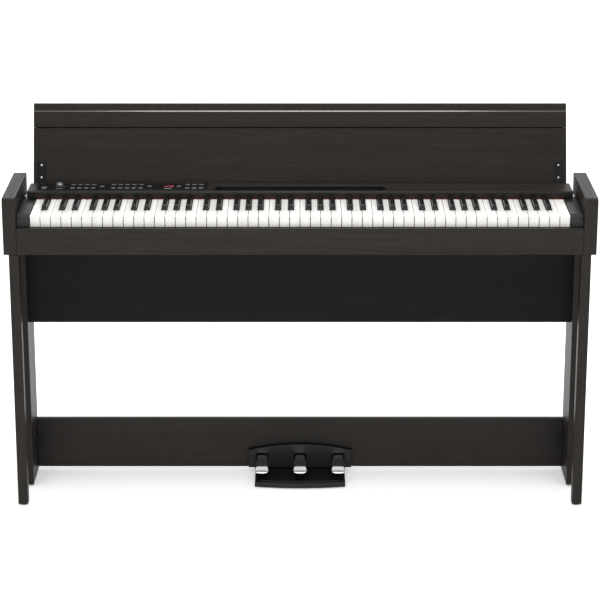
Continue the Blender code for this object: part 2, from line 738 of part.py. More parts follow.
def stand(paints):
    bottom = FOOT_HEIGHT + GAP
    inner = POST_X[0] - GAP
    for side, word in ((-1, "left"), (1, "right")):
        low, high = sorted((side * POST_X[0], side * POST_X[1]))
        middle = side * sum(POST_X) / 2
        for place, (front, rear) in (("front", FRONT_POST_Y), ("rear", REAR_POST_Y)):
            box(
                f"{word}_{place}_leg", (low, front, bottom), (high, rear, STAND_TOP), paints["wood"],
                edge=1.2,
            )
        foot(f"{word}_front_foot", middle, sum(FRONT_POST_Y) / 2, paints)
        foot(f"{word}_rear_foot", middle, REAR_POST_Y[1] - 20, paints)
        bracket(f"{word}_bracket", side, paints)
    box(
        "modesty_panel", (-inner, MODESTY_Y[0], MODESTY_BOTTOM),
        (inner, MODESTY_Y[1], STAND_TOP - GAP / 2), paints["panel"],
    )
    box(
        "pedal_board", (-inner, PEDAL_BOARD_Y[0], PEDAL_BOARD_Z[0]),
        (inner, PEDAL_BOARD_Y[1], PEDAL_BOARD_Z[1]), paints["wood"], edge=1.2,
    )


def bowed(x, half, ends, bow):
    """How far a shallow parabola stands out at x, from ends at half to ends + bow in the middle."""
    return ends + bow * (1 - (x / half) ** 2)


def pedal_housing(paints):
    """The rear plate with an arched top and three slots, on a base with a bowed front."""
    steps = [2 * i / 12 - 1 for i in range(13)]
    low, ends, middle = HOUSING_Z
    top = [(HOUSING_HALF * t, bowed(t, 1, ends, middle - ends)) for t in reversed(steps)]
    outline = [(-HOUSING_HALF, low), (HOUSING_HALF, low), *top]
    bm = bmesh.new()
    add_prism(bm, [(x, HOUSING_Y[0], z) for x, z in outline], (0, HOUSING_Y[1] - HOUSING_Y[0], 0))
    plate = finish_mesh("pedal_housing", bm, paints["plastic"])
    front = [(BASE_HALF * t, BASE_FRONT - BASE_BOW * (1 - t * t)) for t in steps]
    rear = HOUSING_Y[1] - 4
    base = prism_along_z(
        "housing_base", [*front, (BASE_HALF, rear), (-BASE_HALF, rear)], *BASE_Z, paints["plastic"],
    )
    combine(plate, base, "UNION")
    slots = boxes(
        "pedal_slot_cutters",
        [
            (
                (x - PEDAL_SLOT_HALF, HOUSING_Y[0] - 5, PEDAL_SLOT_Z[0]),
                (x + PEDAL_SLOT_HALF, HOUSING_Y[1] + 5, PEDAL_SLOT_Z[1]),
            )
            for x in PEDAL_X
        ],
        paints["plastic"],
    )
    return combine(plate, slots, "DIFFERENCE")


def pedal(name, x, paints):
    """A pedal: a lever that widens into a rounded tip and curves down towards it."""
    rear, neck = HOUSING_Y[1] - 2, PEDAL_TIP + 32
    tip_half, lever_half = PEDAL_TIP_HALF, PEDAL_LEVER_HALF
    side = [(lever_half, rear), (lever_half, 196), (lever_half + 0.8, 176), (tip_half - 1, neck)]
    front = arc((0, PEDAL_TIP + tip_half), tip_half, 0, -180, 8)
    outline = [*side, *front, *[(-half, y) for half, y in reversed(side)]]
    bm = bmesh.new()
    low = [(x + px, py, PEDAL_PIVOT[1] - PEDAL_THICKNESS / 2) for px, py in outline]
    for vert in add_prism(bm, low, (0, 0, PEDAL_THICKNESS)):
        share = (PEDAL_PIVOT[0] - vert.co.y) / (PEDAL_PIVOT[0] - PEDAL_TIP)
        vert.co.z -= PEDAL_DROP * max(0.0, share) ** 1.6
    bmesh.ops.triangulate(bm, faces=bm.faces)
    obj = finish_mesh(name, bm, paints["chrome"])
    smooth(obj)
    set_origin(obj, (x, *PEDAL_PIVOT))
    return obj


def move_to_centre():
    """Puts the origin under the middle of the whole object."""
    for obj in bpy.context.scene.objects:
        if obj.parent is None:
            obj.location.y -= total_depth() / 2 * MM


def main():
    clear_scene()
    paints = make_paints()
    arm("left_arm", -1, paints)
    arm("right_arm", 1, paints)
    body(paints)
    keyboard(paints)
    control_panel(paints)
    speaker("left_speaker", -1, paints)
    speaker("right_speaker", 1, paints)
    connector_box(paints)
    lid(paints)
    stand(paints)
    pedal_housing(paints)
    for name, x in zip(("left_pedal", "middle_pedal", "right_pedal"), PEDAL_X):
        pedal(name, x, paints)
    move_to_centre()


main()
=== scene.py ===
"""The looks of a slim digital piano on its stand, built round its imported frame.

Places come from the frame's boxes. Lengths are millimetres until a piece is finished, apart from
the camera, the lights and the texture scales, which are in metres.
"""

import json
import math

import bmesh
import bpy
from mathutils import Matrix, Vector, noise


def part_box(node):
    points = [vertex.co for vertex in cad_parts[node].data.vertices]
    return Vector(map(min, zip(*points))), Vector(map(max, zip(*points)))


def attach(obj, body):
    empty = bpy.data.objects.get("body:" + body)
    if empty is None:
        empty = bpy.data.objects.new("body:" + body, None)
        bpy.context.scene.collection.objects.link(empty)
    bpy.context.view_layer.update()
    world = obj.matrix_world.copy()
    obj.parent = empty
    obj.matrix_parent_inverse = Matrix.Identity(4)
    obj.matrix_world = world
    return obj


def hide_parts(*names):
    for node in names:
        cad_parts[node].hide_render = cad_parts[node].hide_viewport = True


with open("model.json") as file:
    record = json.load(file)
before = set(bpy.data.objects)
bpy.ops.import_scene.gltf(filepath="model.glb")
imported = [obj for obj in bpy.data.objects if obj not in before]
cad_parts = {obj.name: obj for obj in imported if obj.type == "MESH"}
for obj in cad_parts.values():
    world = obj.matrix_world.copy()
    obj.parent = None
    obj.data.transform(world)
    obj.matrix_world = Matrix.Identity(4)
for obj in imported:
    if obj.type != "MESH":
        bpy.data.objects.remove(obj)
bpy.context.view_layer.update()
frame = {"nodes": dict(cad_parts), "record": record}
MM = 0.001
# The radius given to a turned point that lies on the axis
POLE_RADIUS = 0.01

# Camera and studio
CAMERA_PLACE = (0.0, -5.133, 2.072)
CAMERA_PITCH = 17.5
CAMERA_LENS = 136.7
FLOOR_HALF = 30.0
FLOOR_GAP = 0.0003
WHITE = (1.0, 1.0, 1.0, 1.0)
# Each softbox: its place, what it points at, its width and height, and its power in watts
SOFTBOXES = {
    "centre_softbox": ((0.0, -0.1, 2.6), (0.0, 0.1, 0.75), (1.1, 0.7), 30.0),
    "rear_softbox": ((0.0, 3.2, 2.2), (0.0, 0.0, 0.6), (3.6, 1.2), 20.0),
    "front_softbox": ((0.0, -3.8, 1.0), (0.0, 0.0, 0.6), (3.0, 1.4), 50.0),
}

# Keyboard
WHITE_COUNT = 52
WHITES_IN_OCTAVE = 7
WHITES_BELOW_LOWEST_C = 2
WHITE_GAP = 1.0
WHITE_HEAD = 49.0
WHITE_DEPTH = 26.0
WHITE_SLAB = 3.2
WHITE_LIP = 0.7
WHITE_BODY_INSET = 0.35
REGISTERS = 7
FIRST_WHITE_IN_OCTAVE = 5
BLACK_WIDTH = 11.5
BLACK_SIDE_GAP = 1.3
BLACK_TAPER = 1.1
BLACK_CORNER = 2.0
BLACK_SHOULDER = 88.0
BLACK_TAIL_DROP = 2.0
FELT_STEPS = 260
FELT_CORNER = 0.9
# Each black key's place in the octave: the white key on its left, and its offset from their joint
BLACK_OFFSETS = {0: -3.0, 1: 3.0, 3: -4.0, 4: 0.0, 5: 4.0}

# Control panel: each group's columns of buttons, and the side on which its single button stands
BUTTON_GROUPS = {"voice_buttons": (4, 1), "rhythm_buttons": (5, 1), "song_buttons": (3, -1)}
BUTTON_SIZE = (12.0, 4.4)
BUTTON_PITCH = 16.0
SINGLE_PITCH = 20.0
CARRIER_MARGIN = 4.0
CAP_SKIRT = 1.0
PRINT_HEIGHT = 0.05
PRINT_SINK = 0.02
LABEL_REACH = 4.6
KNOB_RIBS = 30
KNOB_RIB_DEPTH = 0.45
KNOB_CAP_HEIGHT = 7.5
KNOB_RIM_DROP = 0.8
KNOB_STEM_HALF = 2.8
KNOB_SWEEP = 280.0
KNOB_TICKS = 11
KNOB_TICK_RADIUS = 11.2
DIGITS = "120"
DIGIT_SIZE = (4.6, 11.0)
DIGIT_PITCH = 9.4
DIGIT_STROKE = 0.9
DIGIT_STROKE_GAP = 0.8
DIGIT_POINT = 0.5
DIGIT_SLANT = 0.2
# The lit strokes of each digit: top, upper right, lower right, bottom, lower left, upper left, middle
DIGIT_STROKES = {"0": "1111110", "1": "0110000", "2": "1101101"}

# Pedals
PEDALS = ("left_pedal", "middle_pedal", "right_pedal")
PEDAL_THICKNESS = 6.0
PEDAL_DROP = 12.0
PEDAL_TIP_HALF = 16.2
PEDAL_LEVER_HALF = 11.5
PEDAL_STATIONS = 44
PEDAL_NOSE = 11.0
PLATE_THICKNESS_AHEAD = 15.0
PLATE_ABOVE_BASE = 10.0
PLATE_ARCH = 15.0
SLOT_HALF = 15.0
SLOT_CORNER = 4.0
SLOT_ABOVE_PLATE = (14.0, 37.0)
BASE_THICKNESS = 12.0
BASE_HALF = 108.5
BASE_BOW = 10.0
BASE_RIM_HEIGHT = 3.0

# Lid
LID_LEAN = math.radians(18.5)
HINGE_THICKNESS = 1.7
HINGE_HALF = 10.25
HINGE_SCREWS = (7.5, 37.0, 70.0, 96.0)
# The chamfer at the end of the finger rebate: distances from the fold, and its depth
REBATE_CHAMFER = (37.0, 40.3, 2.0)
BARREL_RADIUS = 1.15
KNUCKLE_LENGTH = 24.0
KNUCKLE_GAP = 0.3

# Under the keybed
SPEAKER_CONE_HALF = 51.5
SPEAKER_SURROUND = 10.5
GRILLE_BARS = 19
GRILLE_PITCH = 5.0
GRILLE_BAR_HALF = 0.8
SPEAKER_SCREWS = (56.0, 28.0)
INLET_OFFSET = 22.0
HEADPHONE_OFFSET = 56.0


# Materials


def add_node(tree, kind, inputs=None, **properties):
    """Adds a shader node. An input is a number, a colour, or another node's output."""
    made = tree.nodes.new("ShaderNode" + kind)
    for name, value in properties.items():
        setattr(made, name, value)
    for name, value in (inputs or {}).items():
        if isinstance(value, bpy.types.NodeSocket):
            tree.links.new(value, made.inputs[name])
        else:
            made.inputs[name].default_value = value
    return made


def new_material(name, colour, roughness, sockets=None):
    material = bpy.data.materials.new(name)
    material.use_nodes = True
    shader = material.node_tree.nodes["Principled BSDF"]
    shader.inputs["Base Color"].default_value = (*colour, 1.0)
    shader.inputs["Roughness"].default_value = roughness
    for socket, value in (sockets or {}).items():
        shader.inputs[socket].default_value = value
    return material, material.node_tree, shader


def stretched(tree, scale):
    """The piece's own coordinates in metres, scaled along each axis."""
    place = add_node(tree, "TexCoord").outputs["Object"]
    return add_node(tree, "Mapping", {"Vector": place, "Scale": scale}).outputs["Vector"]


def noise_field(tree, scale, detail=3.0):
    """Noise with its number of features per metre along each axis."""
    inputs = {"Vector": stretched(tree, scale), "Scale": 1.0, "Detail": detail, "Roughness": 0.6}
    return add_node(tree, "TexNoise", inputs).outputs["Fac"]


def ranged(tree, value, low, high, start=0.3, end=0.7):
    inputs = {"Value": value, "From Min": start, "From Max": end, "To Min": low, "To Max": high}
    return add_node(tree, "MapRange", inputs).outputs["Result"]


def weighted_sum(tree, first, second, share):
    scaled = add_node(tree, "Math", {0: first, 1: share}, operation="MULTIPLY").outputs[0]
    inputs = {0: second, 1: 1.0 - share, 2: scaled}
    return add_node(tree, "Math", inputs, operation="MULTIPLY_ADD").outputs[0]


def colour_between(tree, factor, dark, light, low=0.3, high=0.7):
    ramp = add_node(tree, "ValToRGB", {"Fac": factor})
    for element, position, colour in zip(ramp.color_ramp.elements, (low, high), (dark, light)):
        element.position = position
        element.color = (*colour, 1.0)
    return ramp.outputs["Color"]


def set_bump(tree, shader, height, strength, depth_mm):
    inputs = {"Height": height, "Strength": strength, "Distance": depth_mm * MM}
    tree.links.new(add_node(tree, "Bump", inputs).outputs["Normal"], shader.inputs["Normal"])


def wood(name, axis, dark, light, roughness, specular):
    """Satin wood-grain foil: slow bands, fine lengthwise grain, and short dark pores."""
    material, tree, shader = new_material(name, light, roughness, {"Specular IOR Level": specular})
    along = {letter: 1.0 if letter == axis else 0.0 for letter in "XYZ"}

    def grain_scale(length, width):
        return tuple(length if along[letter] else width for letter in "XYZ")

    bands = noise_field(tree, grain_scale(0.9, 26.0), 2.0)
    fibres = noise_field(tree, grain_scale(4.0, 420.0), 4.0)
    pores = noise_field(tree, grain_scale(22.0, 1100.0), 1.0)
    figure = weighted_sum(tree, bands, fibres, 0.35)
    colour = colour_between(tree, figure, dark, light)
    pits = ranged(tree, pores, 0.6, 1.0, 0.34, 0.44)
    mixed = add_node(
        tree, "Mix", {"Factor": 1.0, 6: colour, 7: pits}, data_type="RGBA", blend_type="MULTIPLY",
    )
    tree.links.new(mixed.outputs[2], shader.inputs["Base Color"])
    polish = ranged(tree, fibres, roughness + 0.08, roughness - 0.05)
    tree.links.new(polish, shader.inputs["Roughness"])
    set_bump(tree, shader, weighted_sum(tree, pits, fibres, 0.6), 0.35, 0.12)
    return material


def moulded(name, dark, light, roughness, grain, depth_mm, sockets=None):
    """Moulded or coated stuff: a fine surface grain, and slow changes of tone and polish."""
    material, tree, shader = new_material(name, light, roughness, sockets)
    cloud = noise_field(tree, (9.0, 9.0, 9.0), 4.0)
    fine = noise_field(tree, (grain, grain, grain), 2.0)
    tone = weighted_sum(tree, cloud, fine, 0.5)
    tree.links.new(colour_between(tree, tone, dark, light), shader.inputs["Base Color"])
    polish = ranged(tree, cloud, roughness * 0.85, roughness * 1.2)
    tree.links.new(polish, shader.inputs["Roughness"])
    set_bump(tree, shader, fine, 0.4, depth_mm)
    return material


def key_plastic(name, dark, light, roughness, sockets):
    """Polished key plastic: a soft drift of tone, and faint marks of use in the polish."""
    material, tree, shader = new_material(name, light, roughness, sockets)
    drift = noise_field(tree, (60.0, 4.0, 4.0), 2.0)
    marks = noise_field(tree, (300.0, 30.0, 300.0), 5.0)
    tree.links.new(colour_between(tree, drift, dark, light), shader.inputs["Base Color"])
    polish = ranged(tree, marks, roughness * 0.8, roughness * 1.4)
    tree.links.new(polish, shader.inputs["Roughness"])
    set_bump(tree, shader, marks, 0.12, 0.02)
    return material


def felt(name, dark, light):
    """Pressed wool felt: matted fibres with a soft sheen."""
    material, tree, shader = new_material(
        name, light, 0.95, {"Sheen Weight": 0.5, "Sheen Roughness": 0.5, "Specular IOR Level": 0.1},
    )
    fibres = noise_field(tree, (1400.0, 2600.0, 2600.0), 5.0)
    tufts = noise_field(tree, (160.0, 200.0, 200.0), 3.0)
    tone = weighted_sum(tree, tufts, fibres, 0.5)
    tree.links.new(colour_between(tree, tone, dark, light), shader.inputs["Base Color"])
    set_bump(tree, shader, fibres, 0.8, 0.3)
    return material


def metal(name, dark, light, roughness, stretch, depth_mm):
    """Plated metal, with brush lines or plating waves stretched along X."""
    material, tree, shader = new_material(name, light, roughness, {"Metallic": 1.0})
    lines = noise_field(tree, (stretch[0], stretch[1], stretch[1]), 3.0)
    cloud = noise_field(tree, (30.0, 30.0, 30.0), 3.0)
    tree.links.new(colour_between(tree, cloud, dark, light), shader.inputs["Base Color"])
    polish = ranged(tree, lines, roughness * 0.8, roughness * 1.3)
    tree.links.new(polish, shader.inputs["Roughness"])
    set_bump(tree, shader, lines, 0.25, depth_mm)
    return material


def circuit_board():
    """Green solder mask over copper tracks that run in straight lines, with bright pads."""
    material, tree, shader = new_material("green_circuit_board", (0.02, 0.11, 0.05), 0.4)
    inputs = {
        "Vector": stretched(tree, (90.0, 90.0, 90.0)),
        "Color1": (0.015, 0.09, 0.04, 1.0),
        "Color2": (0.02, 0.12, 0.05, 1.0),
        "Mortar": (0.05, 0.2, 0.09, 1.0),
        "Mortar Size": 0.04,
        "Scale": 1.0,
    }
    bricks = add_node(tree, "TexBrick", inputs)
    tree.links.new(bricks.outputs["Color"], shader.inputs["Base Color"])
    set_bump(tree, shader, bricks.outputs["Fac"], 0.5, 0.05)
    return material


def glowing(name, colour, strength):
    """A lit segment under a tinted window, a little brighter in its middle."""
    material, tree, shader = new_material(name, colour, 0.4, {"Emission Strength": strength})
    spread = noise_field(tree, (500.0, 500.0, 500.0), 2.0)
    dimmer = tuple(0.75 * part for part in colour)
    tree.links.new(colour_between(tree, spread, dimmer, colour), shader.inputs["Emission Color"])
    return material


def grey(level):
    return (level, level, level)


WOOD_DARK = (0.0115, 0.0096, 0.0080)
WOOD_LIGHT = (0.0215, 0.0183, 0.0157)
WOODS = {
    axis: wood(f"espresso_wood_{axis.lower()}", axis, WOOD_DARK, WOOD_LIGHT, 0.42, 0.12)
    for axis in "XYZ"
}
MATERIALS = {
    "black_board": wood(
        "black_wood_foil", "X", (0.0025, 0.0023, 0.0021), (0.006, 0.0056, 0.0052), 0.55, 0.1,
    ),
    "white_key": key_plastic(
        "white_key_plastic", (0.80, 0.79, 0.75), (0.88, 0.87, 0.84), 0.16,
        {"Coat Weight": 0.3, "Coat Roughness": 0.08},
    ),
    "black_key": key_plastic(
        "black_key_plastic", grey(0.002), grey(0.005), 0.28, {"Specular IOR Level": 0.25},
    ),
    "red_felt": felt("red_wool_felt", (0.08, 0.003, 0.003), (0.18, 0.007, 0.007)),
    "gloss_black": moulded(
        "gloss_black_panel", grey(0.002), grey(0.004), 0.08, 400.0, 0.0004,
        {"Specular IOR Level": 0.4},
    ),
    "black_plastic": moulded(
        "textured_black_plastic", grey(0.003), grey(0.007), 0.38, 1800.0, 0.06,
        {"Specular IOR Level": 0.25},
    ),
    "hinge_steel": moulded(
        "black_coated_steel", grey(0.003), grey(0.007), 0.34, 1100.0, 0.05,
        {"Specular IOR Level": 0.2},
    ),
    "button_grey": moulded(
        "grey_button_plastic", (0.05, 0.05, 0.052), (0.09, 0.09, 0.094), 0.32, 1500.0, 0.02,
    ),
    "bright_steel": metal(
        "zinc_plated_steel", (0.50, 0.50, 0.52), (0.68, 0.68, 0.69), 0.30, (60.0, 900.0), 0.02,
    ),
    "pedal_chrome": metal("chrome_plate", grey(0.80), grey(0.88), 0.07, (40.0, 60.0), 0.01),
    "circuit_board": circuit_board(),
    "foot_rubber": moulded("black_foot_rubber", grey(0.010), grey(0.022), 0.8, 900.0, 0.1),
}
PRINT = moulded("white_panel_print", grey(0.34), grey(0.46), 0.5, 2500.0, 0.01)
LIT_RED = glowing("lit_red_segment", (1.0, 0.12, 0.22), 0.4)
# The fold hinge's finish is partly its own black coating and partly painted shade. It is darker and
# duller than the other black steel, so it stands in for the shadow in the gap of the fold.
FOLD_BLACK_AND_GAP_SHADE = moulded(
    "black_fold_hinge_painted_gap_shade", grey(0.0008), grey(0.0016), 0.8, 900.0, 0.03,
    {"Specular IOR Level": 0.05},
)
LACQUERED_EDGE = wood("lacquered_wood_edge", "X", WOOD_DARK, WOOD_LIGHT, 0.2, 0.5)
CONE_PAPER = moulded(
    "speaker_cone_paper", grey(0.012), (0.030, 0.030, 0.028), 0.85, 1600.0, 0.15,
)


# Mesh helpers


def cad_box(node):
    """The low and high corners of a CAD node, in millimetres."""
    low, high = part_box(node)
    return Vector(low) / MM, Vector(high) / MM


def cad_middle(node):
    low, high = cad_box(node)
    return (low + high) / 2


def add_box(bm, low, high, edge=0.0, segments=2):
    """Adds a box, with its edges rounded over if edge is given."""
    middle, size = (Vector(low) + Vector(high)) / 2, Vector(high) - Vector(low)
    matrix = Matrix.Translation(middle) @ Matrix.Diagonal((*size, 1.0))
    verts = bmesh.ops.create_cube(bm, size=1.0, matrix=matrix)["verts"]
    if edge:
        round_edges(bm, {e for v in verts for e in v.link_edges}, edge, segments)


def round_edges(bm, edges, width, segments):
    bmesh.ops.bevel(
        bm, geom=list(edges), offset=width, segments=segments, affect="EDGES", profile=0.5,
        clamp_overlap=True,
    )


def add_prism(bm, points, direction):
    """Extrudes a closed outline of 3-D points along direction, and returns all its points."""
    face = bm.faces.new([bm.verts.new(point) for point in points])
    made = bmesh.ops.extrude_face_region(bm, geom=[face])["geom"]
    far = [item for item in made if isinstance(item, bmesh.types.BMVert)]
    bmesh.ops.translate(bm, vec=direction, verts=far)
    return list(face.verts) + far


def edges_where(verts, test):
    """The edges of these points whose two ends both pass a test."""
    edges = {edge for vert in verts for edge in vert.link_edges}
    return {edge for edge in edges if all(test(end) for end in edge.verts)}


def arc(centre, radius, start, end, steps):
    """Points on a circle from the start angle to the end angle, in degrees."""
    angles = [math.radians(start + (end - start) * i / steps) for i in range(steps + 1)]
    return [(centre[0] + radius * math.cos(a), centre[1] + radius * math.sin(a)) for a in angles]


def rounded_rectangle(middle, half, radius, steps=5):
    points = []
    for quarter, (x, y) in enumerate(((1, 1), (-1, 1), (-1, -1), (1, -1))):
        corner = (middle[0] + x * (half[0] - radius), middle[1] + y * (half[1] - radius))
        points += arc(corner, radius, 90 * quarter, 90 * quarter + 90, steps)
    return points


def skin(bm, near, far):
    """Adds the faces between two closed rings that have the same number of points."""
    for i in range(len(near)):
        following = (i + 1) % len(near)
        bm.faces.new((near[i], near[following], far[following], far[i]))


def add_loft(bm, sections):
    """Skins closed sections that have the same number of points, and caps both ends."""
    rings = [[bm.verts.new(point) for point in section] for section in sections]
    for near, far in zip(rings, rings[1:]):
        skin(bm, near, far)
    bm.faces.new(rings[0])
    bm.faces.new(rings[-1])


def add_lathe(bm, profile, matrix, segments=32, stretch=(1.0, 1.0)):
    """Turns (radius, height) points about Z, stretched in X and Y. The two ends are capped."""
    sections = []
    for radius, height in profile:
        ring = arc((0, 0), max(radius, POLE_RADIUS), 0, 360 - 360 / segments, segments - 1)
        points = [Vector((x * stretch[0], y * stretch[1], height)) for x, y in ring]
        sections.append([matrix @ point for point in points])
    add_loft(bm, sections)


def add_ring(bm, section, matrix, segments):
    """Turns a closed section of (radius, height) points about Z."""
    rings = []
    for i in range(segments):
        angle = 2 * math.pi * i / segments
        cosine, sine = math.cos(angle), math.sin(angle)
        points = [Vector((radius * cosine, radius * sine, height)) for radius, height in section]
        rings.append([bm.verts.new(matrix @ point) for point in points])
    for near, far in zip(rings, rings[1:] + rings[:1]):
        skin(bm, near, far)


def make_object(name, mesh, material, sharp=35):
    mesh.materials.clear()
    mesh.materials.append(material)
    mesh.shade_smooth()
    mesh.set_sharp_from_angle(angle=math.radians(sharp))
    obj = bpy.data.objects.new(name, mesh)
    bpy.context.scene.collection.objects.link(obj)
    return obj


def finish_mesh(name, bm):
    """Turns millimetres into metres, with the faces pointing out."""
    bmesh.ops.scale(bm, vec=(MM, MM, MM), verts=bm.verts)
    bmesh.ops.recalc_face_normals(bm, faces=bm.faces)
    mesh = bpy.data.meshes.new(name)
    bm.to_mesh(mesh)
    bm.free()
    return mesh


def piece(name, bm, body, slot, material=None, replaces=(), sharp=35):
    """One finished piece that rides on a body and takes its finish from a slot."""
    obj = make_object(name, finish_mesh(name, bm), material or MATERIALS[slot], sharp)
    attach(obj, body)
    if replaces:
        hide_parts(*replaces)
    return obj


def carved(name, solid, cutters):
    """The mesh of one shape in millimetres less others, in metres."""
    helpers = [
        make_object(f"{name}_helper_{i}", finish_mesh(name, bm), PRINT)
        for i, bm in enumerate((solid, *cutters))
    ]
    for cutter in helpers[1:]:
        boolean = helpers[0].modifiers.new("Cut", "BOOLEAN")
        boolean.operation = "DIFFERENCE"
        boolean.solver = "EXACT"
        boolean.object = cutter
    graph = bpy.context.evaluated_depsgraph_get()
    mesh = bpy.data.meshes.new_from_object(helpers[0].evaluated_get(graph))
    for helper in helpers:
        bpy.data.objects.remove(helper)
    return mesh


def soften(obj, width, segments=3, angle=30):
    """Rounds an object's edges a little. The weld first joins the corners that its faces share."""
    weld = obj.modifiers.new("Weld", "WELD")
    weld.merge_threshold = 0.00001
    bevel = obj.modifiers.new("Bevel", "BEVEL")
    bevel.width = width * MM
    bevel.segments = segments
    bevel.limit_method = "ANGLE"
    bevel.angle_limit = math.radians(angle)
    bevel.harden_normals = True


# Screws


def screw_head(radius, height):
    """A domed screw head about Z with a cross recess, its seat at the origin."""
    angles = [math.radians(15 * i) for i in range(7)]
    dome = [(radius * math.cos(angle), height * math.sin(angle)) for angle in angles]
    head = bmesh.new()
    add_lathe(head, [(radius * 0.98, -0.4), *dome], Matrix.Identity(4), 24)
    reach, half = radius * 0.55, radius * 0.13
    floor, above = height * 0.45, height * 2
    recess = []
    for x, y in ((reach, half), (half, reach)):
        arm = bmesh.new()
        add_box(arm, (-x, -y, floor), (x, y, above))
        recess.append(arm)
    return carved("screw_head", head, recess)


SCREW_LARGE = screw_head(3.6, 1.4)
SCREW_SMALL = screw_head(2.4, 0.9)


def screws(name, body, places, direction, head=SCREW_LARGE, slot="bright_steel"):
    """A screw at each place, its head towards direction, each turned a little differently."""
    for number, place in enumerate(places):
        turn = Vector(direction).to_track_quat("Z", "Y").to_matrix().to_4x4()
        twist = Matrix.Rotation(math.radians(11 + 37 * number), 4, "Z")
        mesh = head.copy()
        mesh.transform(Matrix.Translation(Vector(place) * MM) @ turn @ twist)
        obj = make_object(f"{name}_screw_{number + 1}", mesh, MATERIALS[slot])
        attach(obj, body)


# Carried-over CAD nodes


def grain_axis(node):
    """The axis of a node's longest side."""
    low, high = cad_box(node)
    size = high - low
    return "XYZ"[max(range(3), key=lambda i: size[i])]


def paint_frame():
    """Gives each CAD node its material, with wood grain along its longest side."""
    for row in frame["record"]["subparts"]:
        node, slot = row["node"], row["material_slot"]
        material = WOODS[grain_axis(node)] if slot == "dark_wood" else MATERIALS[slot]
        mesh = frame["nodes"][node].data
        mesh.materials.clear()
        mesh.materials.append(material)


def soften_frame():
    """Rounds the edges of the CAD nodes that show as they are."""
    edges = {
        "left_arm": 0.9, "right_arm": 0.9, "console_top": 0.7, "lid_board": 0.4, "lid_flap": 0.3,
        "rear_wall": 0.6, "left_key_block": 1.2, "right_key_block": 1.2, "modesty_panel": 0.8,
        "keybed": 0.6, "control_panel": 0.25, "music_rest_tray": 0.4, "left_lid_hinge": 0.3,
        "right_lid_hinge": 0.3, "left_bracket": 0.4, "right_bracket": 0.4, "connector_box": 0.8,
        "display_window": 0.4,
    }
    for node, width in edges.items():
        soften(frame["nodes"][node], width)


# Keyboard


def register_indices(number):
    """The white keys of one register. The first also has the two keys below the lowest C."""
    start = WHITES_BELOW_LOWEST_C + WHITES_IN_OCTAVE * (number - 1)
    stop = WHITE_COUNT if number == REGISTERS else start + WHITES_IN_OCTAVE
    return range(0 if number == 1 else start, stop)


